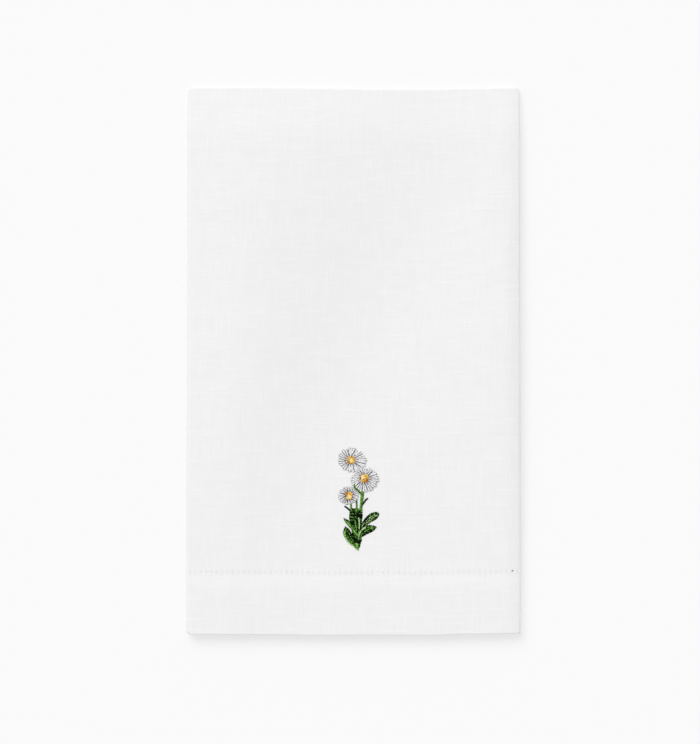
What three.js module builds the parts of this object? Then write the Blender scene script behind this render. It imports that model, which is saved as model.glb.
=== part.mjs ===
// A white linen hand towel, folded flat. Both long sides are turned in behind the centre panel until
// their edges almost meet, and the strip is then folded once across, so that one hemmed end lies on
// top and the other under it. The towel is one piece of cloth, and its hems are part of it. Laid out
// flat it is about 345 x 569 mm.
//
// Millimetres, +X across the face, +Y from the hemmed end towards the cross fold, +Z up. The origin
// is under the middle of the folded towel, on the surface that it lies on.

import * as THREE from "three";

const { lerp, smoothstep, degToRad } = THREE.MathUtils;

// The folded towel, seen from above.
const FACE_LENGTH = 285; // from the hemmed end on top to the outside of the cross fold
const BACK_SHORTFALL = 2.5; // the end underneath stops this far short of the one on top
const SLIT = 3; // left open between the two long edges behind the centre panel
const HEM = 32.1; // height of the hem at each end

// The cloth.
const SHEET = 1; // thickness of one layer, with the air in its weave and creases
const HEM_SHEET = 1.12; // thickness of one layer in a pressed hem, where the cloth is turned over
const HEM_RISE = 10; // a hem gains its thickness over this distance, from its stitching outwards
const STITCH_DIP = 0.25; // the row of stitching is drawn this far into the outside of the cloth
const STITCH_HALF = 1.2; // half the width of that dip
const GAP = 0.3; // air between two layers

// How far the two side folds lie from the middle of the face, from the hemmed end upwards.
const SIDE_FOLDS = [
  { up: 0, left: 87.5, right: 87.2 },
  { up: 60, left: 87.5, right: 87.3 },
  { up: 130, left: 87.1, right: 87.0 },
  { up: 190, left: 86.9, right: 86.8 },
  { up: 250, left: 87.0, right: 86.9 },
  { up: 285, left: 86.9, right: 86.6 },
];

// How far the cross fold and the two ends wander from straight lines, towards +Y.
const END_LINES = [
  { across: -87, fold: 0.3, top: 0.2, under: 0.5 },
  { across: -50, fold: 0.4, top: 0.1, under: -0.2 },
  { across: -15, fold: 0.0, top: -0.3, under: -0.4 },
  { across: 10, fold: -0.4, top: -0.1, under: 0.1 },
  { across: 37, fold: -0.5, top: -0.3, under: 0.3 },
  { across: 63, fold: 0.1, top: 0.4, under: -0.1 },
  { across: 87, fold: 0.4, top: 0.7, under: -0.5 },
];

// The layer underneath lies a little inside the one on top, more so away from the cross fold.
const BACK_INSET = 1.1;
const INSET_REACH = 90;

// Soft swells of the stack, by the place of the middle, the half-lengths and the height of each.
const SWELLS = [
  { name: "whole", x: 0, y: 0, halfX: 400, halfY: 500, turn: 0, height: 0.5 },
  { name: "left", x: -54, y: -5, halfX: 30, halfY: 120, turn: -8, height: 0.6 },
  { name: "right", x: 84, y: 12, halfX: 30, halfY: 110, turn: 4, height: 0.9 },
];

// The swells die away towards the folded sides: by this share of their height, over this distance.
// The left fold is pressed flat and the right one stays round.
const SHOULDERS = {
  left: { share: 1, reach: 32 },
  right: { share: 0.3, reach: 10 },
  crossFold: { share: 1, reach: 32 },
};

// Corners.
const END_CORNER = 1.2; // radius of the corners at the hemmed ends
const FOLD_CORNER = 1.3; // the side folds draw in this far round the cross fold

// Fineness of the faces, in spans.
const FLAP_SPANS = 8; // half as many as the centre panel
const SIDE_FOLD_SPANS = 6;
const CROSS_FOLD_SPANS = 8;
const BODY_SPANS = 14;
const HEM_SPANS = 3;

const STACK = 4 * SHEET + 3 * GAP; // the four layers of the body and the air between them
const FOLD_START = FACE_LENGTH - STACK / 2; // the cross fold bends from here

const shares = (spans) => Array.from({ length: spans + 1 }, (_, i) => i / spans);

// The value of a column at a place between two rows of a table.
function readTable(table, key, place, column) {
  const next = table.findIndex((row) => row[key] >= place);
  if (next <= 0) return table[next === 0 ? 0 : table.length - 1][column];
  const [low, high] = [table[next - 1], table[next]];
  return lerp(low[column], high[column], smoothstep(place, low[key], high[key]));
}

// Thickness of one layer at a distance from its hemmed end.
function sheetAt(fromEnd) {
  return lerp(HEM_SHEET, SHEET, smoothstep(fromEnd, HEM - HEM_RISE, HEM));
}

// Depth of the dip along a hem's stitching at a distance from the hemmed end.
function dipAt(fromEnd) {
  return STITCH_DIP * Math.max(0, 1 - Math.abs(fromEnd - HEM) / STITCH_HALF);
}

// Height of the whole stack, up the face from the hemmed end on top.
function stackAt(up) {
  return 2 * sheetAt(up) + 2 * sheetAt(up - BACK_SHORTFALL) + 3 * GAP;
}

// How far a quarter-round corner pulls a side in, at a distance from the end.
function cornerAt(fromEnd) {
  const short = Math.max(0, END_CORNER - fromEnd);
  return END_CORNER - Math.sqrt(END_CORNER ** 2 - short ** 2);
}

// Stations across the cloth, from the long edge behind the left half to the one behind the right.
// side is -1 or 1 on a flap or a side fold and 0 on the centre panel; turn is 180 degrees on a flap.
// They lie closer together near the side folds, and those of a flap lie under those of the panel.
function stationsAcross() {
  const flap = shares(FLAP_SPANS).map((share) => ({
    side: 1,
    run: 1 - Math.cos((share * Math.PI) / 2),
    turn: 180,
  }));
  const bend = shares(SIDE_FOLD_SPANS)
    .slice(1, -1)
    .map((share) => ({ side: 1, run: 0, turn: 180 * share }));
  const panel = shares(2 * FLAP_SPANS).map((share) => ({
    side: 0,
    run: (1 - Math.cos(share * Math.PI)) / 2,
    turn: 0,
  }));
  const leftwards = (station) => ({ ...station, side: -1 });
  return [
    ...[...bend, ...flap].reverse().map(leftwards),
    ...panel,
    ...bend,
    ...flap,
  ];
}

// Stations along the cloth, from the end on top, round the cross fold, to the end underneath. up is
// the height on the face where a station lies, and turn is 180 degrees on the half underneath.
function stationsAlong() {
  const bodyStart = HEM + BACK_SHORTFALL + 2 * STITCH_HALF;
  const half = (end) => {
    const stitching = end + HEM;
    const hem = shares(HEM_SPANS).map((share) => lerp(end + END_CORNER, HEM - HEM_RISE, share));
    const dip = [stitching - STITCH_HALF, stitching, stitching + STITCH_HALF];
    const body = shares(BODY_SPANS).map((share) => lerp(bodyStart, FOLD_START, share));
    return [end, end + END_CORNER / 3, ...hem, HEM - HEM_RISE / 2, ...dip, ...body];
  };
  const top = half(0).map((up) => ({ up, turn: 0, end: 0 }));
  const bend = shares(CROSS_FOLD_SPANS)
    .slice(1, -1)
    .map((share) => ({ up: FOLD_START, turn: 180 * share, end: 0 }));
  const under = half(BACK_SHORTFALL)
    .reverse()
    .map((up) => ({ up, turn: 180, end: BACK_SHORTFALL }));
  return [...top, ...bend, ...under];
}

// The folded section at one station along the cloth: how far a point lies across the face, and how
// deep under the outside of its own half.
function foldSides(across, along, isOuter) {
  const sheet = sheetAt(along.up - along.end);
  const radius = sheet + GAP / 2; // outside of a side fold
  const depth = isOuter ? dipAt(along.up - along.end) : sheet;
  const inset = (along.turn / 180) * BACK_INSET * smoothstep(FOLD_START - along.up, 0, INSET_REACH);
  const drawnIn =
    inset + cornerAt(along.up - along.end) + FOLD_CORNER * Math.sin(degToRad(along.turn)) ** 2;
  const left = -(readTable(SIDE_FOLDS, "up", along.up, "left") - drawnIn - radius);
  const right = readTable(SIDE_FOLDS, "up", along.up, "right") - drawnIn - radius;
  if (across.side === 0) return { x: lerp(left, right, across.run), deep: depth };
  const hinge = across.side < 0 ? left : right;
  const turn = degToRad(across.turn);
  const flat = lerp(hinge, (across.side * SLIT) / 2, across.run);
  return {
    x: flat + across.side * (radius - depth) * Math.sin(turn),
    deep: radius - (radius - depth) * Math.cos(turn),
  };
}

// How far the top of the stack stands above its plain height at a place on the face.
function swellAt(x, up) {
  const y = up - FACE_LENGTH / 2;
  const sum = SWELLS.reduce((total, swell) => {
    const angle = degToRad(swell.turn);
    const [dx, dy] = [x - swell.x, y - swell.y];
    const u = (dx * Math.cos(angle) + dy * Math.sin(angle)) / swell.halfX;
    const v = (dy * Math.cos(angle) - dx * Math.sin(angle)) / swell.halfY;
    return total + swell.height * Math.exp(-(u * u + v * v));
  }, 0);
  const kept = (shoulder, distance) =>
    1 - shoulder.share * (1 - smoothstep(distance, 0, shoulder.reach));
  return (
    sum *
    kept(SHOULDERS.left, x + readTable(SIDE_FOLDS, "up", up, "left")) *
    kept(SHOULDERS.right, readTable(SIDE_FOLDS, "up", up, "right") - x) *
    kept(SHOULDERS.crossFold, FACE_LENGTH - up)
  );
}

// The place of a point of the cloth in the folded towel.
function foldPoint(across, along, isOuter) {
  const { x, deep } = foldSides(across, along, isOuter);
  const stack = stackAt(along.up);
  const turn = degToRad(along.turn);
  const up = along.up + (stack / 2 - deep) * Math.sin(turn);
  const height = stack / 2 + (stack / 2 - deep) * Math.cos(turn);
  const end = lerp(
    readTable(END_LINES, "across", x, "top"),
    readTable(END_LINES, "across", x, "under"),
    along.turn / 180,
  );
  const wander = lerp(end, readTable(END_LINES, "across", x, "fold"), up / FACE_LENGTH);
  return new THREE.Vector3(x, up + wander, height * (1 + swellAt(x, up) / stack));
}

// The cloth starts as a flat slab with one span for each pair of neighbouring stations, and each of
// its points is then folded into place. The slab's +Z face becomes the outside of the folded towel.
function makeTowel() {
  const across = stationsAcross();
  const along = stationsAlong();
  const [spansX, spansY] = [across.length - 1, along.length - 1];
  const geometry = new THREE.BoxGeometry(spansX, spansY, 1, spansX, spansY, 1);
  const points = geometry.getAttribute("position");
  const point = new THREE.Vector3();
  for (let i = 0; i < points.count; i++) {
    point.fromBufferAttribute(points, i);
    const column = across[Math.round(point.x + spansX / 2)];
    const row = along[Math.round(point.y + spansY / 2)];
    points.setXYZ(i, ...foldPoint(column, row, point.z > 0));
  }
  geometry.computeBoundingBox();
  const middle = geometry.boundingBox.getCenter(new THREE.Vector3());
  geometry.translate(-middle.x, -middle.y, -geometry.boundingBox.min.z);
  geometry.computeVertexNormals();
  return geometry;
}

const linen = new THREE.MeshStandardMaterial({
  name: "linen",
  color: "#f2f2f0",
  roughness: 0.9,
  metalness: 0,
});

const towel = new THREE.Mesh(makeTowel(), linen);
towel.name = "hand_towel";

const part = new THREE.Group();
part.name = "folded_hand_towel";
part.add(towel);

export default part;
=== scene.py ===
"""Dresses the folded hand towel: its linen, hemstitched hems and embroidered daisy sprig.

The towel is drawn flat, and fold() puts each point of it in its place. A point of the flat cloth is
(u, v): u runs across it from the middle of the embroidered panel, and v runs along it from the
hemmed end that lies on top. Sizes are in millimetres until make_mesh() turns them into metres.
"""

import math
import bpy
import numpy as np
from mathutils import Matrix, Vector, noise


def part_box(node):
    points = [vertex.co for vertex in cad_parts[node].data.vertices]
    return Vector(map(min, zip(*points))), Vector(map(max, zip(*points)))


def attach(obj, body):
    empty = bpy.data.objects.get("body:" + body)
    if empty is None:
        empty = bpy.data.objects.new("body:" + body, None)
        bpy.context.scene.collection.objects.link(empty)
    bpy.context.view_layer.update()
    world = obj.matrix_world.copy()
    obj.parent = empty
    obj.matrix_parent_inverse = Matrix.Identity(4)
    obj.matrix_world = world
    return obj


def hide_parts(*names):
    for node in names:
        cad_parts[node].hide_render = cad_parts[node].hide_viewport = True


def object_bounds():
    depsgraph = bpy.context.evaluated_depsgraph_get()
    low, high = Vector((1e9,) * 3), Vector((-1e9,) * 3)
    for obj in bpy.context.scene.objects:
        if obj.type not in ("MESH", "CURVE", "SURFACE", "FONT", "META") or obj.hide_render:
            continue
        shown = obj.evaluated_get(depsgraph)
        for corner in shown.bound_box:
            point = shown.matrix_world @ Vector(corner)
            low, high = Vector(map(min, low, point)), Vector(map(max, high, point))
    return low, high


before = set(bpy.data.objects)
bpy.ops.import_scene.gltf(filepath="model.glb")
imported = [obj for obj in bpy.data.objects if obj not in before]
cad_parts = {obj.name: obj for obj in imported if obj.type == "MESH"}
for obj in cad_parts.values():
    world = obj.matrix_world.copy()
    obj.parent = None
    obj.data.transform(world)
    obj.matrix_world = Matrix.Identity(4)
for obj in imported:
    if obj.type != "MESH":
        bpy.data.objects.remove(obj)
CAD_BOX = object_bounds()

MM = 0.001
SEED = 7
random = np.random.default_rng(SEED)


def table(columns, *rows):
    """A list of rows whose values are named by their columns."""
    return [dict(zip(columns, row)) for row in rows]


# -------- the folded towel, as its solid has it

FACE_LENGTH = 285.0  # from the hemmed end on top to the outside of the cross fold
BACK_SHORTFALL = 2.5  # the end underneath stops this far short of the one on top
SLIT = 3.0  # open between the two long edges behind the centre panel
HEM = 32.1  # height of the hem at each end
SHEET = 1.0  # thickness of one layer of the solid
HEM_SHEET = 1.12  # of one layer in the hems
HEM_RISE = 10.0  # it grows to that over this distance
GAP = 0.3  # air between two layers
STACK = 4 * SHEET + 3 * GAP
FOLD_START = FACE_LENGTH - STACK / 2
FOLD_CLOTH = math.pi * (STACK - SHEET) / 2  # length of cloth in the cross fold
BACK_INSET = 1.1  # the lower half's side folds lie this much further in,
INSET_REACH = 90.0  # from this far from the cross fold on

FLAT_WIDTH = 345.0
FLAT_LENGTH = 2 * FOLD_START + FOLD_CLOTH - BACK_SHORTFALL

# How far the side folds lie from the middle of the face, and how far the ends wander towards +Y.
SIDE_FOLDS = {
    "up": (0, 60, 130, 190, 250, 285),
    "left": (87.5, 87.5, 87.1, 86.9, 87.0, 86.9),
    "right": (87.2, 87.3, 87.0, 86.8, 86.9, 86.6),
}
END_LINES = {
    "across": (-87, -50, -15, 10, 37, 63, 87),
    "fold": (0.3, 0.4, 0.0, -0.4, -0.5, 0.1, 0.4),
    "top": (0.2, 0.1, -0.3, -0.1, -0.3, 0.4, 0.7),
    "under": (0.5, -0.2, -0.4, 0.1, 0.3, -0.1, -0.5),
}

# Soft swells of the stack: middle, half-lengths, turn in degrees and height.
HUMP = ("x", "y", "half_x", "half_y", "turn", "height")
SWELLS = table(
    HUMP,
    (0, 0, 400, 500, 0, 0.5),
    (-54, -5, 30, 120, -8, 0.6),
    (84, 12, 30, 110, 4, 0.9),
)
# The share of its swells that each edge holds down, and how far in that reaches.
SHOULDERS = table(
    ("edge", "share", "reach"),
    ("left", 1.0, 32.0),
    ("right", 0.3, 10.0),
    ("cross_fold", 1.0, 32.0),
)

# -------- the cloth that is drawn on that solid

CLOTH = 0.5  # thickness of one layer of linen
HEM_CLOTH = 0.85  # of a hem, which is turned over
SIDE_HEM_CLOTH = 0.75  # of the narrow hem along each long edge
SIDE_HEM = 5.0
STITCH_GAP = 0.03  # height of the row of drawn threads along each hem
# Radius of each corner of the face.
CORNERS = {"end_left": 2.4, "end_right": 0.8, "fold_left": 2.0, "fold_right": 2.2}
SIDE_PINCH = 0.15  # share of their natural breadth that the pressed folds keep
CROSS_PINCH = 0.15
FOLD_LINE = FACE_LENGTH - CROSS_PINCH * STACK / 2  # where the top leaf starts to turn over
OVERHANG = 0.4  # the top hem ends this far beyond the solid's
OVERHANG_REACH = 24.0
FLAP_TUCK = 1.2  # the long edges folded behind stop this far short of it
FLAP_GAP = 0.3  # air between the panel and the flaps behind it
FLAP_SETTLE = 12.0  # they come this close over this distance from the side folds

# Deeper swells than the solid has.
LOFTS = table(
    HUMP,
    (-58, 20, 42, 125, -12, 2.6),
    (12, 25, 34, 115, -22, -1.6),
    (86, 20, 27, 95, 0, 1.8),
    (-70, 92, 32, 45, 0, 1.2),
)

# How far each edge is pressed down below the solid's, how far in that reaches, and its curve: at a
# power of 1 it is a straight slope.
PRESSED = table(
    ("edge", "drop", "reach", "power"),
    ("left", 0.15, 6.0, 2.0),
    ("right", 0.9, 8.0, 2.0),
    ("cross_fold", 1.3, 24.0, 1.4),
)

# Ridges in the top layer alone.
CREASES = table(
    HUMP,
    (-62, -124, 20, 12, 0, 0.22),
    (-16, -119, 15, 8, 0, 0.2),
    (42, -118, 16, 9, 0, 0.22),
)
COCKLE = 0.08  # height of the faint unevenness all over
COCKLE_SIZE = 18.0
COCKLE_FINER = 2.3  # a second, finer one is this many times smaller, and half as high
TOP_FADE = 20.0  # creases and unevenness fade out this far before the cross fold,
PANEL_FADE = (78.0, 85.0)  # and between these distances from the middle

# -------- small helpers


def smoothstep(at, low, high):
    share = np.clip((at - low) / (high - low), 0, 1)
    return share * share * (3 - 2 * share)


def lerp(low, high, share):
    return low + (high - low) * share


def read_table(table, key, column, at):
    """The value of a column at places between the rows, eased from row to row."""
    places = np.array(table[key], float)
    values = np.array(table[column], float)
    at = np.clip(at, places[0], places[-1])
    row = np.clip(np.searchsorted(places, at), 1, len(places) - 1)
    share = smoothstep(at, places[row - 1], places[row])
    return lerp(values[row - 1], values[row], share)


def humps(rows, x, y):
    """The summed height of a table of soft humps at places on the face."""
    total = np.zeros(np.broadcast(x, y).shape)
    for row in rows:
        angle = math.radians(row["turn"])
        dx, dy = x - row["x"], y - row["y"]
        across = (dx * math.cos(angle) + dy * math.sin(angle)) / row["half_x"]
        along = (dy * math.cos(angle) - dx * math.sin(angle)) / row["half_y"]
        total = total + row["height"] * np.exp(-(across**2 + along**2))
    return total


# -------- folding


def sheet_at(from_end):
    return lerp(HEM_SHEET, SHEET, smoothstep(from_end, HEM - HEM_RISE, HEM))


def stack_at(up):
    return 2 * sheet_at(up) + 2 * sheet_at(up - BACK_SHORTFALL) + 3 * GAP


def cloth_at(from_end):
    """Thickness of the linen, which is turned over in the hems at both ends."""
    return lerp(HEM_CLOTH, CLOTH, smoothstep(from_end, HEM - 1, HEM + 1))


def corner_at(distance, radius):
    """How far a quarter round draws a side in, at a distance from where it ends."""
    short = np.clip(radius - distance, 0, radius)
    return radius - np.sqrt(radius**2 - short**2)


def room_at(x, up):
    """Distances of a place on the face from its folded edges."""
    return {
        "left": x + read_table(SIDE_FOLDS, "up", "left", up),
        "right": read_table(SIDE_FOLDS, "up", "right", up) - x,
        "cross_fold": FACE_LENGTH - up,
    }


def swell_at(x, up):
    """How far the top of the stack stands above its plain height."""
    room = room_at(x, up)
    swell = humps(SWELLS, x, up - FACE_LENGTH / 2)
    for shoulder in SHOULDERS:
        free = smoothstep(room[shoulder["edge"]], 0, shoulder["reach"])
        swell = swell * (1 - shoulder["share"] * (1 - free))
    return swell


def pressed_at(x, up):
    """The share of its height that the stack keeps near its edges."""
    room = room_at(x, up)
    kept = 1.0
    for press in PRESSED:
        near = 1 - np.clip(room[press["edge"]] / press["reach"], 0, 1)
        kept = kept * (1 - press["drop"] / STACK * near ** press["power"])
    return kept


def rows_of(v):
    """What the fold needs to know about each place along the cloth."""
    past = np.clip(v - FOLD_START, 0, FOLD_CLOTH)
    turn = past / FOLD_CLOTH * math.pi
    up = np.where(v <= FOLD_START, v, FOLD_START - np.maximum(v - FOLD_START - FOLD_CLOTH, 0))
    up = up * FOLD_LINE / FOLD_START
    from_end = np.where(turn > math.pi / 2, up - BACK_SHORTFALL, up)
    radius = sheet_at(from_end) + GAP / 2
    inset = turn / math.pi * BACK_INSET * smoothstep(FOLD_LINE - up, 0, INSET_REACH)
    from_fold = FACE_LENGTH - up - CROSS_PINCH * STACK / 2 * np.sin(turn)
    drawn_in = inset + radius * SIDE_PINCH

    def hinge(side):
        corner = corner_at(from_end, CORNERS["end_" + side])
        corner = corner + corner_at(from_fold, CORNERS["fold_" + side])
        return read_table(SIDE_FOLDS, "up", side, up) - drawn_in - corner

    return {
        "turn": turn,
        "up": up,
        "radius": radius,
        "settle": 2 * (radius - cloth_at(from_end)) - FLAP_GAP,
        "side_cloth": math.pi * (radius - SHEET / 2),
        "left": hinge("left"),
        "right": hinge("right"),
    }


def fold(u, v, depth):
    """Places of points of the cloth in the folded towel. depth goes in from the outside."""
    u, v, depth = np.broadcast_arrays(*(np.asarray(a, float) for a in (u, v, depth)))
    row = rows_of(v)
    turn, up, radius, side_cloth = (row[key] for key in ("turn", "up", "radius", "side_cloth"))
    side = np.where(u < 0, -1.0, 1.0)
    hinge = np.where(u < 0, row["left"], row["right"])
    side_turn = np.clip(np.abs(u) - hinge, 0, side_cloth) / side_cloth * math.pi
    behind = np.maximum(np.abs(u) - hinge - side_cloth, 0)
    run = np.clip(behind / (FLAT_WIDTH / 2 - hinge - side_cloth), 0, 1)
    bend = SIDE_PINCH * (radius - depth) * np.sin(side_turn)
    x = np.where(np.abs(u) <= hinge, u, side * (lerp(hinge, SLIT / 2, run) + bend))
    deep = radius - (radius - depth) * np.cos(side_turn)
    deep = deep - row["settle"] * smoothstep(behind, 0, FLAP_SETTLE)

    stack = stack_at(up)
    reach = stack / 2 - deep
    on_top = np.cos(turn / 2) ** 2
    over = OVERHANG * (1 - smoothstep(up, 0, OVERHANG_REACH)) * on_top
    tuck = FLAP_TUCK * np.sin(side_turn / 2) ** 2 * (on_top * (1 - up / FOLD_LINE)) - over
    y = up + tuck + CROSS_PINCH * reach * np.sin(turn)
    height = stack / 2 + reach * np.cos(turn)
    end = lerp(
        read_table(END_LINES, "across", "top", x),
        read_table(END_LINES, "across", "under", x),
        turn / math.pi,
    )
    wander = lerp(end, read_table(END_LINES, "across", "fold", x), y / FACE_LENGTH)
    swell = swell_at(x, y) + humps(LOFTS, x, y - FACE_LENGTH / 2)
    z = height * (1 + swell / stack) * pressed_at(x, y)
    return np.stack([x, y + wander, z], -1)


def cockle_at(a, b):
    return noise.noise((a, b, 0.0)) + 0.5 * noise.noise((a * COCKLE_FINER, b * COCKLE_FINER, 5.0))


def ripple(u, v):
    """How far the top layer stands out of its plain place: its creases and a faint unevenness."""
    cockle = np.vectorize(cockle_at)(u / COCKLE_SIZE, v / COCKLE_SIZE)
    on_top = 1 - smoothstep(v, FOLD_START - TOP_FADE, FOLD_START)
    on_panel = 1 - smoothstep(np.abs(u), *PANEL_FADE)
    return (humps(CREASES, u, v - FACE_LENGTH / 2) + COCKLE * cockle) * on_top * on_panel


def centring():
    """The shift that puts fold()'s towel where its solid lies, but for the overhang."""
    low, high = (np.array(corner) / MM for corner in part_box("hand_towel"))
    v = np.linspace(0, FLAT_LENGTH, 400)
    u = np.linspace(-FLAT_WIDTH / 2, FLAT_WIDTH / 2, 200)
    points = fold(u[:, None], v[None, :], 0.0).reshape(-1, 3)
    points_low = points.min(0) + (0, OVERHANG, 0)
    shift = (low + high) / 2 - (points_low + points.max(0)) / 2
    return np.array([shift[0], shift[1], 0.0])


SHIFT = centring()

# -------- meshes


def put_in_scene(name, data):
    thing = bpy.data.objects.new(name, data)
    bpy.context.scene.collection.objects.link(thing)
    return thing


def make_mesh(name, points, faces, maps=()):
    """A mesh object from points in millimetres, with one UV map for each (name, values by point)."""
    mesh = bpy.data.meshes.new(name)
    mesh.from_pydata((np.asarray(points) * MM).tolist(), [], [list(map(int, f)) for f in faces])
    corners = np.empty(len(mesh.loops), np.int32)
    mesh.loops.foreach_get("vertex_index", corners)
    for map_name, values in maps:
        layer = mesh.uv_layers.new(name=map_name, do_init=False)
        layer.uv.foreach_set("vector", np.asarray(values, np.float32)[corners].ravel())
    mesh.polygons.foreach_set("use_smooth", np.ones(len(mesh.polygons), bool))
    mesh.validate()
    return put_in_scene(name, mesh)


def finish_piece(piece, material):
    piece.data.materials.append(material)
    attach(piece, "root")
    return piece


def grid_faces(rows, columns, start=0, flip=False):
    """Quads of a grid of rows x columns points."""
    index = start + np.arange(rows * columns).reshape(rows, columns)
    quads = np.stack([index[:-1, :-1], index[:-1, 1:], index[1:, 1:], index[1:, :-1]], -1)
    quads = quads.reshape(-1, 4)
    return quads[:, ::-1] if flip else quads


# -------- the linen

PANEL_SPANS = 88
FLAP_SPANS = 16
SIDE_FOLD_SPANS = 8
CROSS_FOLD_SPANS = 12
FOLD_CORNER_SPANS = 6  # in the last of the top before the cross fold, where its corners are
TOP_STEP = 2.2  # spacing of the rows on top
UNDER_STEP = 6.0
EDGE_SPANS = 4  # in the round of an edge
HOLE_COLUMNS = 9  # more columns across each open hole
FLAP_EASE = 1.3  # crowds the columns of the flaps behind towards the side folds
CORNER_ROWS = (1.5, 2.0)  # rows this far from an end, where its corners are round

ROW_ROUND = 0.1  # radius of the cloth's edges along the rows of drawn threads
THINNEST = 0.01  # half of what is left of the cloth at its very edge
HOLE_REACH = 1.5  # how far on each side of the row an open hole moves the cloth

# Places along the top row where the threads have been pushed apart, how wide, and how far
# each edge of the cloth gives way there.
OPEN_HOLES = table(
    ("u", "wide", "tall"),
    (82.9, 1.2, 0.35),
    (85.0, 0.5, 0.06),
)


def parted(u, v):
    """v of the cloth's points, moved away from the top row where a hole is open."""
    near = np.clip(1 - np.abs(v - HEM) / HOLE_REACH, 0, 1)
    tall = 0.0
    for hole in OPEN_HOLES:
        tall = tall + hole["tall"] * np.exp(-((2 * (u - hole["u"]) / hole["wide"]) ** 2))
    return v + np.sign(v - HEM) * tall * near


def thickness_at(u, v):
    body = cloth_at(np.minimum(v, FLAT_LENGTH - v))
    side = smoothstep(FLAT_WIDTH / 2 - np.abs(u), SIDE_HEM, SIDE_HEM - 1)
    return np.maximum(body, lerp(body, SIDE_HEM_CLOTH, side))


def edge_steps(thickness):
    """Distances from an edge at which its round needs points."""
    angles = np.linspace(0, math.pi / 2, EDGE_SPANS + 1)
    return thickness / 2 * (1 - np.cos(angles))


def columns_at(v):
    """u of each column of the grid at places along the cloth."""
    row = rows_of(v[:, None])
    panel = np.linspace(0, 1, PANEL_SPANS + 1)
    bend = np.linspace(0, 1, SIDE_FOLD_SPANS + 1)[1:]
    flap = np.linspace(0, 1, FLAP_SPANS + 1)[1:] ** FLAP_EASE
    edge = FLAT_WIDTH / 2
    round_edge = edge - edge_steps(SIDE_HEM_CLOTH)[::-1][1:]

    def half(hinge):
        return np.hstack(
            [
                hinge + row["side_cloth"] * bend,
                lerp(hinge + row["side_cloth"], edge - SIDE_HEM_CLOTH, flap),
                np.broadcast_to(round_edge, (len(v), len(round_edge))),
            ]
        )

    middle = lerp(-row["left"], row["right"], panel)
    fine = [hole["u"] + hole["wide"] * np.linspace(-1, 1, HOLE_COLUMNS) for hole in OPEN_HOLES]
    fine = np.broadcast_to(np.concatenate(fine), (len(v), HOLE_COLUMNS * len(OPEN_HOLES)))
    middle = np.sort(np.hstack([middle, fine]), axis=1)
    return np.hstack([-half(row["left"])[:, ::-1], middle, half(row["right"])])


def slab(v, start, end):
    """Points, faces and flat places of the closed stretch of cloth between start and end."""
    u = columns_at(v)
    place = np.broadcast_to(v[:, None], u.shape)
    thick = thickness_at(u, place)
    at_row = np.where(place - start < end - place, start > 0, end < FLAT_LENGTH)
    inset = np.maximum(
        corner_at(np.minimum(place - start, end - place), np.where(at_row, ROW_ROUND, thick / 2)),
        corner_at(FLAT_WIDTH / 2 - np.abs(u), thick / 2),
    )
    inset = np.minimum(inset, thick / 2 - THINNEST)
    stand = -ripple(u, place)
    outer = fold(u, parted(u, place), stand + inset)
    inner = fold(u, parted(u, place), stand + thick - inset)
    rows, columns = u.shape
    count = rows * columns
    points = np.concatenate([outer.reshape(-1, 3), inner.reshape(-1, 3)])
    index = np.arange(count).reshape(rows, columns)
    rim = np.concatenate([index[0], index[1:, -1], index[-1, -2::-1], index[-2:0:-1, 0]])
    after = np.roll(rim, -1)
    walls = np.stack([rim, rim + count, after + count, after], -1)
    faces = np.concatenate(
        [grid_faces(rows, columns), grid_faces(rows, columns, count, flip=True), walls]
    )
    flat = np.stack([u.ravel(), place.ravel()], -1)
    return points, faces, np.concatenate([flat, flat])


def spaced(start, end, step):
    """Rows from start to end, with the round edges at both."""
    near = edge_steps(HEM_CLOTH)
    inside = np.linspace(start + HEM_CLOTH, end - HEM_CLOTH, max(2, round((end - start) / step)))
    rows = np.concatenate([start + near, inside, end - near[::-1]])
    corner = np.array(CORNER_ROWS)
    if start > 0:
        corner = FLAT_LENGTH - corner
    return np.sort(np.concatenate([rows, corner]))


def make_cloth(material):
    """The folded linen: the body, and a hem beyond the row of drawn threads at each end."""
    half_gap = STITCH_GAP / 2
    body_start, body_end = HEM + half_gap, FLAT_LENGTH - HEM - half_gap
    fold_end = FOLD_START + FOLD_CLOTH
    near = edge_steps(CLOTH)
    body = np.concatenate(
        [
            body_start + near,
            np.arange(body_start + TOP_STEP, FOLD_START - TOP_STEP, TOP_STEP),
            np.linspace(FOLD_START - TOP_STEP, FOLD_START, FOLD_CORNER_SPANS + 1)[:-1],
            np.linspace(FOLD_START, fold_end, CROSS_FOLD_SPANS + 1),
            np.arange(fold_end + UNDER_STEP / 2, body_end - UNDER_STEP / 2, UNDER_STEP),
            body_end - near[::-1],
        ]
    )
    top_hem = (0.0, HEM - half_gap)
    under_hem = (FLAT_LENGTH - HEM + half_gap, FLAT_LENGTH)
    slabs = [
        slab(spaced(*top_hem, TOP_STEP), *top_hem),
        slab(body, body_start, body_end),
        slab(spaced(*under_hem, UNDER_STEP), *under_hem),
    ]
    points, faces, flat = zip(*slabs)
    starts = np.cumsum([0] + [len(slab_points) for slab_points in points])
    faces = np.concatenate([slab_faces + start for slab_faces, start in zip(faces, starts)])
    points = np.concatenate(points) + SHIFT
    points[:, 2] = np.maximum(points[:, 2], 0)
    piece = make_mesh("towel_cloth", points, faces, [("flat", np.concatenate(flat) * MM)])
    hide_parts("hand_towel")
    return finish_piece(piece, material)


# -------- threads

RINGS = 7
SIDES = 6
END_TAPER = np.array([0.45, 0.85, 1, 1, 1, 0.85, 0.45])
ALONG = np.array([0, 0.07, 0.25, 0.5, 0.75, 0.93, 1])
DIVE = 0.12  # how far the ends of a stitch go into the cloth
THREAD = 0.36  # width of the embroidery thread
FLATNESS = 0.75  # height of a thread as a share of its width
PROBE = 0.2  # a step away from the cloth, which gives the direction of its normal


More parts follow.
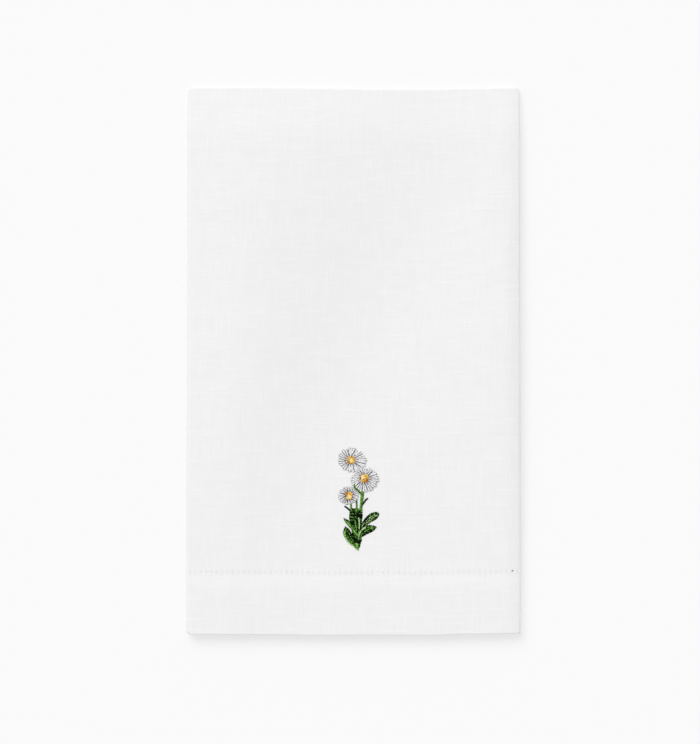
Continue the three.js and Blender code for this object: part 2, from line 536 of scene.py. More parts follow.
class Threads:
    """Stitches of one colour, gathered for one mesh. Each is a short flattened tube of RINGS rings."""

    def __init__(self):
        self.stitches = []

    def add(self, path, width, flatness=FLATNESS):
        """path is RINGS points (u, v, height above the cloth)."""
        self.stitches.append((path, width, width * flatness))

    def stitch(self, start, end, crown, base, width=THREAD):
        """A straight stitch that dives into the cloth at both ends."""
        flat = lerp(np.array(start, float), np.array(end, float), ALONG[:, None])
        arch = np.sqrt(np.clip(1 - (2 * ALONG - 1) ** 2, 0, 1))
        height = base + crown * arch - DIVE * (1 - arch)
        self.add(np.column_stack([flat, height]), width)

    def make(self, name, material, slot):
        paths, widths, thicks = (np.array(values) for values in zip(*self.stitches))
        u, v, height = np.moveaxis(paths, -1, 0)
        stand = ripple(u, v)
        centre = fold(u, v, -height - stand)
        normal = fold(u, v, -height - stand - PROBE) - centre
        normal /= np.linalg.norm(normal, axis=-1, keepdims=True)
        tangent = np.gradient(centre, axis=1)
        across = np.cross(tangent, normal)
        across /= np.linalg.norm(across, axis=-1, keepdims=True)
        angle = np.arange(SIDES) / SIDES * 2 * math.pi
        taper = END_TAPER[None, :, None]
        breadth = (np.cos(angle) * (widths[:, None, None] / 2) * taper)[..., None]
        rise = (np.sin(angle) * (thicks[:, None, None] / 2) * taper)[..., None]
        ring = centre[:, :, None] + across[:, :, None] * breadth + normal[:, :, None] * rise
        ring[..., 2] = np.maximum(ring[..., 2], 0)
        count = len(paths)
        index = np.arange(count * RINGS * SIDES).reshape(count, RINGS, SIDES)
        ahead = np.roll(index, -1, axis=2)
        sides = np.stack([index[:, :-1], ahead[:, :-1], ahead[:, 1:], index[:, 1:]], -1)
        caps = [*index[:, 0, ::-1], *index[:, -1]]
        steps = np.linalg.norm(np.diff(centre, axis=1, prepend=centre[:, :1]), axis=-1)
        length = np.broadcast_to(np.cumsum(steps, axis=1)[:, :, None], index.shape)
        round_it = np.broadcast_to(np.arange(SIDES) / SIDES, index.shape)
        own = np.broadcast_to(random.random(count)[:, None, None], index.shape)
        piece = make_mesh(
            name,
            ring.reshape(-1, 3) + SHIFT,
            [*sides.reshape(-1, 4).tolist(), *caps],
            [
                ("thread", np.stack([length, round_it], -1).reshape(-1, 2)),
                ("own", np.stack([own, own], -1).reshape(-1, 2)),
            ],
        )
        return finish_piece(piece, material)


# -------- hemstitching

STITCH_PITCH = 2.8
STITCH_WANDER = 0.12  # spread of the stitches' places along the row
BUNDLE_THREADS = 7
BUNDLE_SPREAD = 2.5  # width of a bundle where it enters the cloth
BUNDLE_WAIST = 2.2
BUNDLE_CURVE = 1.3  # how its width grows from the waist: higher for a longer waist
BUNDLE_REACH = 0.7  # how far it runs onto the cloth on each side
BUNDLE_THREAD = 0.39
BUNDLE_SINK = 0.27  # how deep the ends of its outer threads lie in the cloth
BUNDLE_BOW = 0.08  # how much higher its middle lies, both along it and across it
TIE_THREAD = 0.3
TIE_CROWN = 0.1  # how high a tie arches
TIE_BASE = -0.1  # the height it arches from, a little below the face of the cloth
TIE_INSET = 0.3  # how far onto the hem its outer end lies
TIE_START = (0.15, 0.1)  # of a slanting one: aside of the bundle's middle, and towards the hem
TIE_SLANT = 0.46  # of the pitch, how far aside it ends


def pushed_aside(u):
    """The place of a thread near an open hole, moved to the hole's side."""
    for hole in OPEN_HOLES:
        away, wide = u - hole["u"], hole["wide"]
        if abs(away) < wide:
            u = hole["u"] + math.copysign(lerp(wide / 2, wide, abs(away) / wide), away)
    return u


def add_hemstitch(bundles, ties, middle, outward):
    """One row of hemstitching along the cloth at v = middle. outward points to the hem's end."""
    count = int((FLAT_WIDTH - 2 * SIDE_HEM) / STITCH_PITCH)
    first = -(count - 1) / 2 * STITCH_PITCH
    reach = STITCH_GAP / 2 + BUNDLE_REACH
    along = np.linspace(-1, 1, RINGS)
    hem_edge = middle + outward * (STITCH_GAP / 2 + TIE_INSET)

    def tie(start, end):
        ties.stitch(start, end, TIE_CROWN, TIE_BASE, TIE_THREAD)

    for k in range(count):
        u = first + k * STITCH_PITCH + random.normal(0, STITCH_WANDER)
        spread = BUNDLE_SPREAD * random.uniform(0.92, 1.04)
        waist = BUNDLE_WAIST * random.uniform(0.85, 1.15)
        wide = lerp(waist, spread, np.abs(along) ** BUNDLE_CURVE)
        for j in range(BUNDLE_THREADS):
            share = j / (BUNDLE_THREADS - 1) - 0.5
            rise = -BUNDLE_SINK + BUNDLE_BOW * (1 - along**2) + BUNDLE_BOW * (1 - (2 * share) ** 2)
            across = np.array([pushed_aside(place) for place in u + share * wide])
            path = np.column_stack([across, middle + reach * along, rise])
            bundles.add(path, BUNDLE_THREAD, flatness=1.0)
        for hand in (-1, 1):
            tie(
                (u + hand * TIE_START[0], middle + outward * TIE_START[1]),
                (u + hand * STITCH_PITCH * TIE_SLANT, hem_edge + outward * random.uniform(0.3, 0.5)),
            )
        tie((u - waist * 0.5, hem_edge), (u + waist * 0.5, hem_edge))


def make_hemstitching(linen, thread):
    bundles, ties = Threads(), Threads()
    add_hemstitch(bundles, ties, HEM, -1)
    add_hemstitch(bundles, ties, FLAT_LENGTH - HEM, 1)
    return [
        bundles.make("hemstitch_bundles", linen, "linen"),
        ties.make("hemstitch_ties", thread, "white_thread"),
    ]


# -------- embroidery

SPACING = 0.3  # of satin stitches along their column
UNEVEN = 0.05  # spread of the ends of satin stitches and of the places in a line
LEAST_CROWN = 0.45  # share of its height that the shortest satin stitch has
CROWN_LENGTH = 2.2  # the share grows by 1 over this length of stitch
LINE_STEP = 0.55  # between the stitches of a line
LINE_REACH = 0.45  # half the length of each
LINE_CROWN = 0.16

# Each daisy: middle, half-widths and tilt of its petals' outline; its eye, with half-widths, the place
# of its painted highlight and the direction in degrees of its shaded side; number of petals, share of
# the gaps between them that are stitched grey as painted shade, and lift off the cloth.
DAISIES = table(
    ("middle", "half", "tilt", "eye", "eye_half", "bright", "shaded", "petals", "grey", "lift"),
    ((-0.8, 90.4), (7.5, 6.4), -12, (-1.4, 90.3), (2.3, 2.1), (-1.5, 90.1), 225, 28, 0.8, 0.0),
    ((-2.8, 71.9), (5.4, 4.6), 10, (-2.5, 71.9), (1.95, 2.1), (-2.4, 71.6), 150, 25, 1.0, 0.0),
    ((5.8, 79.9), (7.2, 6.2), 8, (5.6, 80.9), (2.35, 2.35), (4.8, 81.4), 310, 28, 0.8, 0.22),
)
PETAL_SHARE = 0.66  # of the room round the daisy that the petals fill
PETAL_ROOT = 0.85  # of the eye's half-widths, where they start
PETAL_REACH = ((0.84, 0.98), (0.94, 1.03))  # of the outline, for the short and the long ones
PETAL_TIP = 0.82  # share of its length from where a petal is rounded
PETAL_RIM = ((-0.5, 0.84), (-0.25, 0.98), (0.25, 0.98), (0.5, 0.84))  # steps round, share of reach
RIM_CHANCE = (-2.6, -0.4)  # drawn from this, it has to be below the cosine from the shaded side
EYE_SLANT = math.radians(60)
EYE_STITCH = 0.8  # length of its stitches
EYE_BASE = 0.14  # height of its rim, and how much higher its middle stands
EYE_DOME = 0.22
HIGHLIGHT_REACH = 0.42  # painted highlight: light yellow stitches lie this near its bright spot, as a share of its half-widths
SHADE_FROM = 0.5  # orange ones, as painted shade, this far towards its shaded side,
RIM_FROM = 0.86  # and some beyond this share of its outline
RIM_ORANGE = 0.55

# The stems, the main one as a lighter left and a darker right column for painted highlight and shade,
# and in the last three rows the light lines over the trunk, painted highlights: points from the top
# down, the width at each, thread, how high the stitches arch, and from what height off the cloth.
STEMS = table(
    ("points", "wide", "thread", "crown", "base"),
    # the main stem: a lighter left column and a darker right one below it, painted highlight and shade
    ([(3.9, 75.4), (3.8, 72.0), (3.5, 68.0), (3.2, 64.5)], (1.0, 0.8, 0.6, 0.6), "stem", 0.3, 0.1),
    ([(4.8, 75.2), (4.7, 72.0), (4.3, 68.0), (3.9, 63.5)], (1.4, 1.2, 0.9, 0.9), "fill", 0.3, 0.1),
    ([(0.4, 77.8), (0.6, 76.0), (1.9, 75.0), (3.4, 73.2)], (0.7, 1.1, 1.0, 0.9), "fill", 0.3, 0.5),
    ([(7.3, 70.5), (6.2, 69.6), (5.2, 68.2), (4.5, 67.2)], (0.7, 0.9, 0.9, 0.8), "dark", 0.3, 0.1),
    ([(1.5, 70.0), (1.5, 66.0), (1.4, 63.5)], (0.9, 1.0, 1.1), "fill", 0.3, 0.1),
    ([(-1.4, 67.4), (-1.3, 64.0)], (0.9, 1.1), "fill", 0.3, 0.1),
    ([(-4.6, 66.4), (-3.0, 65.2), (-1.6, 64.0)], (0.8, 0.9, 1.0), "dark", 0.3, 0.1),
    ([(1.7, 47.0), (1.75, 44.1)], (1.5, 1.9), "stem", 0.3, 0.1),
    # light lines over the trunk: painted highlights
    ([(2.6, 60.4), (2.9, 58.0), (2.8, 54.8)], (0.7, 0.7), "light", 0.16, 0.26),
    ([(0.6, 59.2), (0.9, 57.0), (1.6, 54.0)], (0.4, 0.4), "stem", 0.16, 0.26),
    ([(2.9, 53.6), (2.6, 51.6), (2.3, 49.0)], (0.4, 0.4), "stem", 0.16, 0.26),
)

# The dark mass that the leaves grow from: points down its middle and its width at each.
TRUNK = [(1.4, 65.1), (1.2, 62.0), (0.9, 59.0), (1.5, 55.5), (1.6, 52.0), (1.6, 48.5), (1.8, 44.8)]
TRUNK_WIDE = (5.8, 6.8, 6.2, 5.0, 5.2, 4.6, 2.0)
TRUNK_CUTS = np.array([-0.5, -0.17, 0.17, 0.5])  # where its rows are cut, in shares of the width
TRUNK_FILL = 0.18  # share of its stitches in the lighter green
SPECKS = 46  # short light stitches scattered over it

# Each leaf: base, tip, how far its middle bows to the left of the line between them, full width, how
# far along that lies, and how it narrows: below 1 to blunt ends, above 1 to sharp ones.
LEAVES = table(
    ("leaf", "base", "tip", "bow", "wide", "full", "taper"),
    ("upper right", (3.0, 54.2), (13.1, 62.8), 0.9, 4.4, 0.6, 0.7),
    ("lower right", (2.4, 49.8), (12.0, 55.7), 1.3, 4.6, 0.42, 0.9),
    ("upper left", (2.6, 50.6), (-5.4, 60.3), -0.6, 2.7, 0.5, 0.8),
    ("lower left", (1.8, 44.6), (-4.6, 56.2), 1.05, 4.3, 0.6, 1.2),
)
# The bands over a leaf's dark ground: each lies at a share of the half-width to the left of the middle,
# is so many millimetres wide, runs between two shares of the leaf's length, and lacks a share of its
# stitches. The light bands are lighter thread along edges and middles, and painted highlight too.
BANDS = table(
    ("leaf", "at", "wide", "from", "to", "thread", "broken"),
    ("upper right", 0.22, 0.5, 0.2, 0.9, "light", 0.5),
    ("upper right", -0.22, 0.5, 0.25, 0.92, "light", 0.5),
    ("upper right", -0.6, 0.4, 0.3, 0.9, "stem", 0.6),
    ("lower right", 0.7, 0.9, 0.05, 0.55, "light", 0.1),
    ("lower right", 0.5, 0.7, 0.5, 0.85, "stem", 0.3),
    ("lower right", 0.0, 0.6, 0.2, 0.9, "stem", 0.35),
    ("upper left", 0.35, 0.8, 0.12, 0.9, "stem", 0.15),
    ("upper left", -0.3, 0.5, 0.3, 0.9, "fill", 0.4),
    ("lower left", 0.7, 1.0, 0.12, 0.82, "stem", 0.15),
    ("lower left", 0.8, 0.5, 0.2, 0.6, "light", 0.2),
    ("lower left", 0.15, 0.5, 0.3, 0.9, "stem", 0.65),
    ("lower left", -0.45, 0.5, 0.2, 0.8, "stem", 0.7),
)
LEAF_FILL = 0.24  # share of the ground's stitches in the lighter green
LEAF_LEAN = 0.7  # how far they lean towards the tip, as a share of the half-width

# Each piece of the embroidery: its name, the kind of thread in it and its slot.
EMBROIDERY = table(
    ("name", "thread", "slot"),
    ("daisy_petals", "white", "white_thread"),
    ("petal_shading", "grey", "grey_thread"),
    ("petal_rims", "silver", "grey_thread"),
    ("daisy_eyes", "yellow", "yellow_thread"),
    ("eye_highlights", "pale", "yellow_thread"),
    ("eye_shading", "orange", "orange_thread"),
    ("leaf_ground", "dark", "dark_green_thread"),
    ("leaf_fill", "fill", "dark_green_thread"),
    ("stems", "stem", "green_thread"),
    ("leaf_lines", "light", "green_thread"),
)


def curve_through(points, count):
    """Points and unit directions along a smooth curve through a short list of points."""
    points = np.array(points, float)
    padded = np.vstack([2 * points[0] - points[1], points, 2 * points[-1] - points[-2]])
    spans = len(points) - 1
    at = np.linspace(0, spans, count)
    span = np.minimum(at.astype(int), spans - 1)
    t = (at - span)[:, None]
    a, b, c, d = (padded[span + k] for k in range(4))
    places = 0.5 * (
        2 * b + (c - a) * t + (2 * a - 5 * b + 4 * c - d) * t**2 + (3 * b - a - 3 * c + d) * t**3
    )
    directions = np.gradient(places, axis=0)
    return places, directions / np.linalg.norm(directions, axis=1, keepdims=True)


def length_of(points):
    return np.linalg.norm(np.diff(np.array(points, float), axis=0), axis=1).sum()


def left_of(directions):
    return np.stack([-directions[..., 1], directions[..., 0]], -1)


def heading(angle):
    return np.array([math.cos(angle), math.sin(angle)])


def column_of(points, wide):
    """Places, directions and widths of a column along a curve, from its width at each point."""
    count = int(length_of(points) / SPACING)
    places, directions = curve_through(points, count)
    widths = np.interp(np.linspace(0, len(wide) - 1, count), np.arange(len(wide)), wide)
    return places, directions, widths


def satin(threads, places, directions, widths, crown, slant, base):
    """Satin stitches across a column, one at each place."""
    for place, ahead, side, width in zip(places, directions, left_of(directions), widths):
        lean = ahead * width * slant
        ends = random.normal(0, UNEVEN, 2)
        threads.stitch(
            place - side * (width / 2 + ends[0]) - lean,
            place + side * (width / 2 + ends[1]) + lean,
            crown * min(1.0, LEAST_CROWN + width / CROWN_LENGTH),
            base,
        )


def line_stitch(threads, points, width, base):
    """A line of stitches end to end, each a little over the last."""
    places, directions = curve_through(points, max(3, int(length_of(points) / LINE_STEP)))
    for place, ahead, side in zip(places, directions, left_of(directions)):
        away = side * random.normal(0, UNEVEN)
        start, end = place - ahead * LINE_REACH + away, place + ahead * LINE_REACH - away
        threads.stitch(start, end, LINE_CROWN, base, width)


def add_petals(daisy, threads):
    """Long and short petals by turns, grey stitches as painted shade in the gaps and along long petals'
    roots, and grey rims, partly painted shade, more of them round the shaded side.
    """
    middle, half = np.array(daisy["middle"]), np.array(daisy["half"])
    eye, eye_half = np.array(daisy["eye"]), np.array(daisy["eye_half"])
    ahead = heading(math.radians(daisy["tilt"]))
    axes = np.array([ahead, left_of(ahead)])
    lift = daisy["lift"]
    step = 2 * math.pi / daisy["petals"]
    shaded = math.radians(daisy["shaded"])

    def spot(angle, share):
        """A place from the rim of the eye, at 0, to the petals' outline, at 1."""
        inner = eye + heading(angle) * eye_half * PETAL_ROOT
        outer = middle + (heading(angle) * half) @ axes
        return lerp(inner, outer, share)

    def painted_shade_line(angle, first, last, width, above):
        line_stitch(threads["grey"], [spot(angle, first), spot(angle, last)], width, lift + above)

    for k in range(daisy["petals"]):
        angle = k * step + random.normal(0, step * 0.12)
        reach = random.uniform(*PETAL_REACH[k % 2])
        points = [spot(angle, 0.0), spot(angle + random.normal(0, step * 0.1), reach / 2)]
        points.append(spot(angle, reach))
        places, directions = curve_through(points, int(length_of(points) / SPACING))
        out = np.linspace(0, 1, len(places))
        room = lerp(eye_half[0], half[0] * reach, out) * step
        tip = np.sqrt(np.clip(1 - np.clip((out - PETAL_TIP) / 0.2, 0, 1) ** 2, 0, 1))
        widths = room * PETAL_SHARE * tip
        satin(threads["white"], places, directions, widths, crown=0.3, slant=0.15, base=lift + 0.06)
        # grey stitches in the gap after this petal paint its shade
        if random.random() < daisy["grey"]:
            between = angle + step / 2
            first, last = random.uniform(0.0, 0.3), reach * random.uniform(0.7, 0.95)
            broken = lerp(first, last, random.uniform(0.3, 0.7))
            painted_shade_line(between, first, broken, width=0.46, above=-0.02)
            painted_shade_line(between, broken + 0.12, last, width=0.46, above=-0.02)
        # a short grey stitch paints shade along the root of each long petal
        if k % 2:
            painted_shade_line(angle, 0.06, 0.3, width=0.3, above=0.2)
        # grey rims round the tip: outline thread, drawn more often towards the shaded side, where it is
        # painted shade
        if math.cos(angle - shaded) > random.uniform(*RIM_CHANCE):
            rim = [spot(angle + turn * step, reach * far) for turn, far in PETAL_RIM]
            line_stitch(threads["silver"], rim, width=0.4, base=lift + 0.04)


def add_eye(daisy, threads):
    """The eye of a daisy in short slanting stitches: a painted highlight at its bright spot, painted
    shade in orange on its shaded side, and some orange at its rim.
    """
    eye, half, bright = (np.array(daisy[key]) for key in ("eye", "eye_half", "bright"))
    wide = daisy["eye_half"][0]
    toward_shade = heading(math.radians(daisy["shaded"]))
    ahead = heading(EYE_SLANT)
    side = left_of(ahead)
    for across in np.arange(-1, 1, SPACING * 0.9 / wide):
        reach = math.sqrt(1 - across**2)
        pieces = max(1, round(2 * reach * wide / EYE_STITCH))
        cuts = np.linspace(-reach, reach, pieces + 1)
        cuts[1:-1] += random.uniform(-0.1, 0.1)
        for start, end in zip(cuts[:-1], cuts[1:]):
            place = side * across + ahead * (start + end) / 2
            depth = place @ toward_shade + random.normal(0, 0.14)
            from_highlight = np.linalg.norm((eye + place * half - bright) / half)
            # light yellow stitches paint the highlight, orange ones paint shade on the shaded side and
            # some stand at the rim
            kind = "yellow"
            if from_highlight < HIGHLIGHT_REACH + random.normal(0, 0.08):
                kind = "pale"
            elif depth > SHADE_FROM:
                kind = "orange"
            elif np.linalg.norm(place) > RIM_FROM and random.random() < RIM_ORANGE:
                kind = "orange"
            threads[kind].stitch(
                eye + (side * across + ahead * start) * half,
                eye + (side * across + ahead * end) * half,
                crown=0.2,
                base=daisy["lift"] + EYE_BASE + EYE_DOME * math.sqrt(max(0.0, 1 - place @ place)),
            )


def add_leaf(leaf, threads):
    """The dark ground of a leaf on both sides of its middle, and the bands over it, the light ones
    partly painted highlight.
    """
    base, tip = np.array(leaf["base"]), np.array(leaf["tip"])
    line = tip - base
    length = np.linalg.norm(line)
    bowed = (base + tip) / 2 + left_of(line) / length * leaf["bow"]
    count = int(length / SPACING)
    places, directions = curve_through([base, bowed, tip], count)
    across = left_of(directions)
    share = np.linspace(0, 1, count)
    full = leaf["full"]
    rise = np.where(share < full, share / full, (1 - share) / (1 - full))
    half = leaf["wide"] / 2 * np.sin(np.clip(rise, 0, 1) * math.pi / 2) ** leaf["taper"]
    for k in range(count - 1):
        ahead = directions[k] * half[k] * LEAF_LEAN
        for hand in (-1, 1):
            kind = "fill" if random.random() < LEAF_FILL else "dark"
            threads[kind].stitch(
                places[k] - across[k] * hand * min(0.35, half[k] / 2),
                places[k] + across[k] * hand * (half[k] + random.normal(0, 0.07)) + ahead,
                crown=0.22,
                base=0.04,
                width=THREAD * 0.9,
            )
    for band in BANDS:
        if band["leaf"] != leaf["leaf"]:
            continue
        first, last = int(band["from"] * (count - 1)), int(band["to"] * (count - 1))
        lean = -0.4 if band["at"] < 0 else 0.4
        for k in range(first, last + 1):
            if random.random() < band["broken"]:
                continue
            middle = places[k] + across[k] * half[k] * band["at"]
            taper = min(1.0, half[k] / (0.25 * leaf["wide"]))
            reach = (across[k] * 0.5 + directions[k] * lean) * band["wide"] * taper
            threads[band["thread"]].stitch(middle - reach, middle + reach, crown=0.14, base=0.24)


def add_trunk(threads):
    """Wide rows of dark stitches, each in three lengths, with short light specks over them."""
    places, directions, widths = column_of(TRUNK, TRUNK_WIDE)
    across = left_of(directions)
    for place, ahead, side, wide in zip(places, directions, across, widths):
        cuts = TRUNK_CUTS * wide + random.normal(0, 0.12, len(TRUNK_CUTS))
        for start, end in zip(cuts[:-1], cuts[1:]):
            kind = "fill" if random.random() < TRUNK_FILL else "dark"
            threads[kind].stitch(
                place + side * (start - 0.3) - ahead * 0.15,
                place + side * (end + 0.3) + ahead * 0.15,
                crown=0.18,
                base=0.03,
            )
    for _ in range(SPECKS):
        k = random.integers(0, len(places))
        place = places[k] + across[k] * widths[k] * random.uniform(-0.42, 0.42)
        reach = heading(random.uniform(0.6, 2.5)) * random.uniform(0.2, 0.4)
        kind = "stem" if random.random() < 0.5 else "fill"
        threads[kind].stitch(place - reach, place + reach, crown=0.14, base=0.2, width=0.32)


def make_embroidery(materials):
    threads = {piece["thread"]: Threads() for piece in EMBROIDERY}
    add_trunk(threads)
    for leaf in LEAVES:
        add_leaf(leaf, threads)
    for stem in STEMS:
        line = column_of(stem["points"], stem["wide"])
        satin(threads[stem["thread"]], *line, stem["crown"], slant=0.3, base=stem["base"])
    for daisy in DAISIES:
        add_petals(daisy, threads)
        add_eye(daisy, threads)
    return [
        threads[piece["thread"]].make(piece["name"], materials[piece["thread"]], piece["slot"])
        for piece in EMBROIDERY
    ]


# -------- materials


class Nodes:
    """Short ways to add and join shader nodes."""

    def __init__(self, name):
        self.material = bpy.data.materials.new(name)
        self.material.use_nodes = True
        self.tree = self.material.node_tree
        self.shader = self.tree.nodes["Principled BSDF"]

    def add(self, kind, inputs=(), **settings):
        node = self.tree.nodes.new(kind)
        for key, value in settings.items():
            setattr(node, key, value)
        for key, value in dict(inputs).items():
            self.put(value, node.inputs[key])
        return node

    def put(self, value, socket):
        if isinstance(value, bpy.types.NodeSocket):
            self.tree.links.new(value, socket)
        else:
            socket.default_value = value

    def math(self, operation, value, *others):
        """A math node, or a chain of them for more than two values."""
        for other in others or (0.0,):
            node = self.add("ShaderNodeMath", {0: value, 1: other}, operation=operation)
            value = node.outputs[0]
        return value

    def times(self, *values):
        return self.math("MULTIPLY", *values)

    def plus(self, *values):
        return self.math("ADD", *values)

    def map(self, name):
        """The two coordinates of a UV map."""
        uv = self.add("ShaderNodeUVMap", uv_map=name).outputs[0]
        split = self.add("ShaderNodeSeparateXYZ", {0: uv})
        return split.outputs[0], split.outputs[1]

    def mix(self, share, low, high):
        return self.add("ShaderNodeMix", {0: share, 6: low, 7: high}, data_type="RGBA").outputs[2]

    def bump(self, height, strength, rise):
        """The normal of a surface that rises so many millimetres where height is 1."""
        inputs = {"Height": height, "Strength": strength, "Distance": rise * MM}
        return self.add("ShaderNodeBump", inputs).outputs[0]

    def surface(self, inputs):
        """Joins or sets inputs of the material's shader."""
        for name, value in inputs.items():
            self.put(value, self.shader.inputs[name])


def srgb(*levels):
    """A linear colour with alpha from the usual 0 to 255 levels."""
    shares = [level / 255 for level in levels]
    linear = [s / 12.92 if s <= 0.04045 else ((s + 0.055) / 1.055) ** 2.4 for s in shares]
    return (*linear, 1.0)


def grey(level):
    return srgb(level, level, level)


WEAVE_PITCH = 0.5  # millimetres from thread to thread
WEAVE_HEIGHT = 0.12  # of its crossings, beside slubs of 1
SLUB_LENGTH = 22.0
SLUB_WIDTH = 0.8
SLUB_SHADE = 0.4
BAND_LENGTH = 16.0  # of the broader, fainter streaks
BAND_WIDTH = 4.0
BAND_SHADE = 1.1
THICK_LENGTH = 13.0  # of the single thick threads that stand out here and there
THICK_WIDTH = 1.2
THICK_FROM = 0.6  # they show where the noise is above this
THICK_HEIGHT = 4.0
THICK_SHADE = 2.0
THICK_UPRIGHT = 1.5  # those along the towel stand out this much more
LINEN_DARK = 234.5  # tone where the shade is SHADE_BASE
LINEN_LIGHT = 238.5  # and where it is 1 more
SHADE_BASE = 1.0
# Painted shade: small grey spots in the linen's colour beside each row of drawn threads, for the shade
# in the holes between its bundles.
HOLE_SHADE_REACH = 1.4  # how far from a row of drawn threads the painted shade of its small holes fades out
HOLE_SHADE_SHIFT = 0.2  # how far their middle lies onto the hem
HOLE_SHADE_SHARE = 0.19  # how much of the painted shade's grey level shows in them
HOLE_SHADE_LEVEL = 200
HOLE_SHADE_SPAN = 1.2  # the higher, the narrower they are along the row


def painted_hole_shade(n, u, v):
    """How much painted shade the weave gets at a place where it is pulled open: 1 beside the gap
    between two bundles.
    """
    middle = FLAT_LENGTH / 2 * MM
    row = (FLAT_LENGTH / 2 - HEM) * MM
    from_middle = n.math("ABSOLUTE", n.math("SUBTRACT", v, middle))
    beyond = n.math("SUBTRACT", from_middle, row + HOLE_SHADE_SHIFT * MM)
    away = n.math("DIVIDE", beyond, HOLE_SHADE_REACH * MM)
    near = n.math("EXPONENT", n.times(away, away, -1.0))
    turn = n.times(u, 2 * math.pi / (STITCH_PITCH * MM))
    between = n.math("SUBTRACT", 0.5, n.times(n.math("COSINE", turn), 0.5))
    return n.times(n.math("POWER", between, HOLE_SHADE_SPAN), near)


def linen_material():
    """Bleached plain-woven linen: crossing threads of uneven weight, with slubs both ways."""
    n = Nodes("linen")
    u, v = n.map("flat")

    def streaks(across, along, wide, long, offset, detail=3.0):
        """Uneven thread weight: narrow across the threads, long along them."""
        place = {0: n.times(across, 1 / (wide * MM)), 1: n.times(along, 1 / (long * MM)), 2: offset}
        vector = n.add("ShaderNodeCombineXYZ", place).outputs[0]
        inputs = {"Vector": vector, "Scale": 1.0, "Detail": detail}
        return n.add("ShaderNodeTexNoise", inputs).outputs["Fac"]

    def both_ways(wide, long, first_offset, second_offset):
        return n.plus(
            streaks(u, v, wide, long, first_offset), streaks(v, u, wide, long, second_offset)
        )

    def thick(across, along, offset):
        """Single threads that stand out of the others."""
        weight = streaks(across, along, THICK_WIDTH, THICK_LENGTH, offset, detail=0.0)
        return n.math("MAXIMUM", n.math("SUBTRACT", weight, THICK_FROM), 0.0)

    def wave(across):
        return n.math("SINE", n.times(across, math.pi / (WEAVE_PITCH * MM)))

    slubs = both_ways(SLUB_WIDTH, SLUB_LENGTH, 1.7, 8.3)
    bands = both_ways(BAND_WIDTH, BAND_LENGTH, 3.1, 5.9)
    lines = n.plus(n.times(thick(u, v, 2.2), THICK_UPRIGHT), thick(v, u, 6.6))
    height = n.plus(n.times(wave(u), wave(v), WEAVE_HEIGHT), slubs, n.times(lines, THICK_HEIGHT))
    shade = n.plus(
        n.times(slubs, SLUB_SHADE), n.times(bands, BAND_SHADE), n.times(lines, THICK_SHADE)
    )
    tone = n.mix(n.math("SUBTRACT", shade, SHADE_BASE), grey(LINEN_DARK), grey(LINEN_LIGHT))
    # painted shade of the holes beside the rows of drawn threads
    hole_shade = n.times(painted_hole_shade(n, u, v), HOLE_SHADE_SHARE)
    n.surface({
        "Base Color": n.mix(hole_shade, tone, grey(HOLE_SHADE_LEVEL)),
        "Normal": n.bump(height, 0.35, 0.12),
        "Roughness": 0.85,
        "Specular IOR Level": 0.1,
        "Sheen Weight": 0.02,
        "Sheen Roughness": 0.5,
    })
    return n.material


TWIST = 0.5  # millimetres along the thread for one turn of its plies
TWIST_SHADE = 0.12  # how far the painted shade along the twist of the plies moves a stitch towards its other colour

# Each thread's darkest and lightest colour, its gloss and its sheen.
THREAD_KINDS = table(
    ("kind", "name", "dark", "light", "gloss", "sheen"),
    ("white", "white_thread", (234, 234, 236), (250, 250, 250), 0.3, 0.1),
    # grey that paints the shade in the gaps between petals
    ("grey", "grey_thread", (76, 74, 80), (130, 128, 134), 0.2, 0.0),
    # light grey for the petals' rims, partly painted shade
    ("silver", "pale_grey_thread", (158, 156, 162), (202, 200, 206), 0.2, 0.0),
    ("yellow", "yellow_thread", (214, 154, 44), (250, 216, 112), 0.3, 0.1),
    # a light yellow that paints the eyes' highlights
    ("pale", "pale_yellow_thread", (255, 230, 140), (255, 248, 205), 0.5, 0.1),
    # orange thread at the eyes' rims, and painted shade on their shaded sides
    ("orange", "orange_thread", (118, 64, 12), (222, 146, 46), 0.3, 0.1),
    ("dark", "dark_green_thread", (0, 5, 0), (10, 36, 4), 0.05, 0.0),
    ("fill", "leaf_green_thread", (28, 80, 14), (112, 160, 72), 0.1, 0.0),
    ("stem", "green_thread", (60, 128, 30), (150, 204, 104), 0.15, 0.0),
    # light green for the leaves' bands and the trunk's lines, partly painted highlight
    ("light", "light_green_thread", (150, 196, 112), (212, 228, 192), 0.2, 0.0),
)


def thread_material(kind):
    """Twisted embroidery thread whose tone differs a little from stitch to stitch, with painted shade
    along the twist of its plies.
    """
    n = Nodes(kind["name"])
    along, round_it = n.map("thread")
    own = n.map("own")[0]
    turns = n.plus(n.times(along, 1 / TWIST), round_it)
    twist = n.math("SINE", n.times(turns, 2 * math.pi))
    # each stitch's own tone, plus painted shade along the twist
    blend = n.plus(own, n.times(twist, TWIST_SHADE))
    n.surface({
        "Base Color": n.mix(blend, srgb(*kind["dark"]), srgb(*kind["light"])),
        "Normal": n.bump(twist, 0.4, 0.04),
        "Roughness": 0.45,
        "Specular IOR Level": kind["gloss"],
        "Sheen Weight": kind["sheen"],
    })
    return n.material


# -------- floor, light and camera

PHOTO_SIZE = (700, 744)  # pixels
PHOTO_SCALE = 0.5216 * MM  # metres of the face for one pixel
PHOTO_MIDDLE = (353.6, 361.0)  # where the middle of the towel lies in the photo
CAMERA_HEIGHT = 1.6
SENSOR = 36.0

WHITE = 1.04  # brightness of a white sheet facing up
FLOOR_SHADE = 0.92
FLOOR_GLOW = 0.56  # of the floor's brightness, its own; it keeps the shadows light

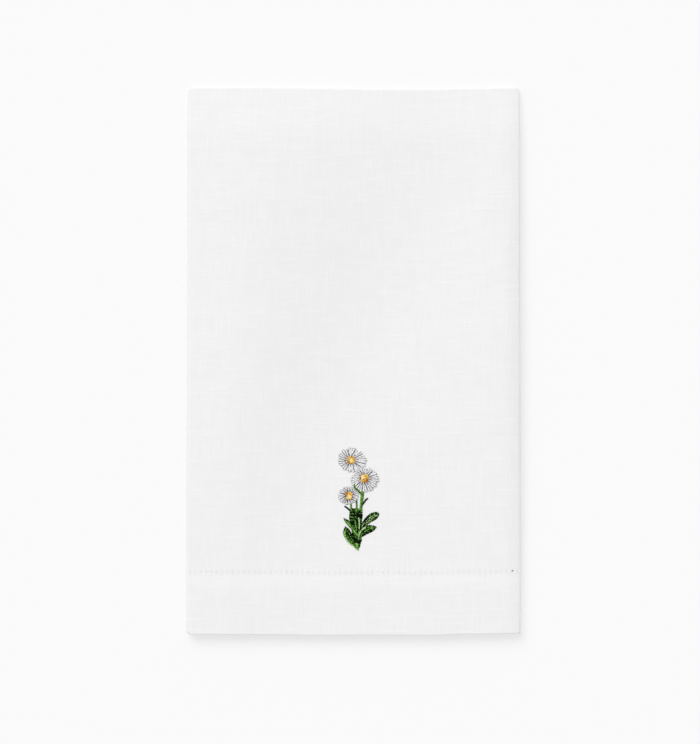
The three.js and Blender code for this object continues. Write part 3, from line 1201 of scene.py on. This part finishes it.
# The soft lamp: how far it leans from straight above and which way, from the towel's far end round
# towards its left side, how wide it looks from the towel, all in degrees, and its share of the
# light that a flat sheet gets. The rest comes evenly from all round.
LAMP = {"lean": 45.0, "turn": 28.0, "spread": 42.0, "share": 0.34}


def make_floor():
    bpy.ops.mesh.primitive_plane_add(size=6)
    floor = bpy.context.object
    floor.name = "floor"
    n = Nodes("floor")
    bright = FLOOR_SHADE * (1 - FLOOR_GLOW)
    n.surface({
        "Base Color": (bright, bright, bright, 1),
        "Roughness": 1.0,
        "Specular IOR Level": 0.0,
        "Emission Color": (1, 1, 1, 1),
        "Emission Strength": FLOOR_SHADE * FLOOR_GLOW * WHITE,
    })
    floor.data.materials.append(n.material)


def make_light():
    world = bpy.data.worlds.new("studio")
    world.use_nodes = True
    background = world.node_tree.nodes["Background"].inputs
    background["Color"].default_value = (1, 1, 1, 1)
    background["Strength"].default_value = WHITE * (1 - LAMP["share"])
    bpy.context.scene.world = world
    lamp = bpy.data.lights.new("soft_lamp", "SUN")
    lean = math.radians(LAMP["lean"])
    lamp.energy = WHITE * LAMP["share"] * math.pi / math.cos(lean)
    lamp.angle = math.radians(LAMP["spread"])
    holder = put_in_scene("soft_lamp", lamp)
    holder.rotation_euler = (-lean, 0, math.radians(LAMP["turn"]))


def make_camera():
    data = bpy.data.cameras.new("camera")
    camera = put_in_scene("camera", data)
    across = (PHOTO_SIZE[0] / 2 - PHOTO_MIDDLE[0]) * PHOTO_SCALE
    up = (PHOTO_MIDDLE[1] - PHOTO_SIZE[1] / 2) * PHOTO_SCALE
    camera.location = (across, up, CAMERA_HEIGHT)
    data.sensor_width = SENSOR
    face_height = CAD_BOX[1][2]
    data.lens = SENSOR * (CAMERA_HEIGHT - face_height) / (PHOTO_SIZE[1] * PHOTO_SCALE)
    data.clip_end = 20
    bpy.context.scene.camera = camera


# -------- the scene

bpy.context.scene.view_settings.view_transform = "Standard"
make_floor()
make_light()
make_camera()
linen = linen_material()
threads = {kind["kind"]: thread_material(kind) for kind in THREAD_KINDS}
cloth = make_cloth(linen)
hemstitching = make_hemstitching(linen, threads["white"])
embroidery = make_embroidery(threads)
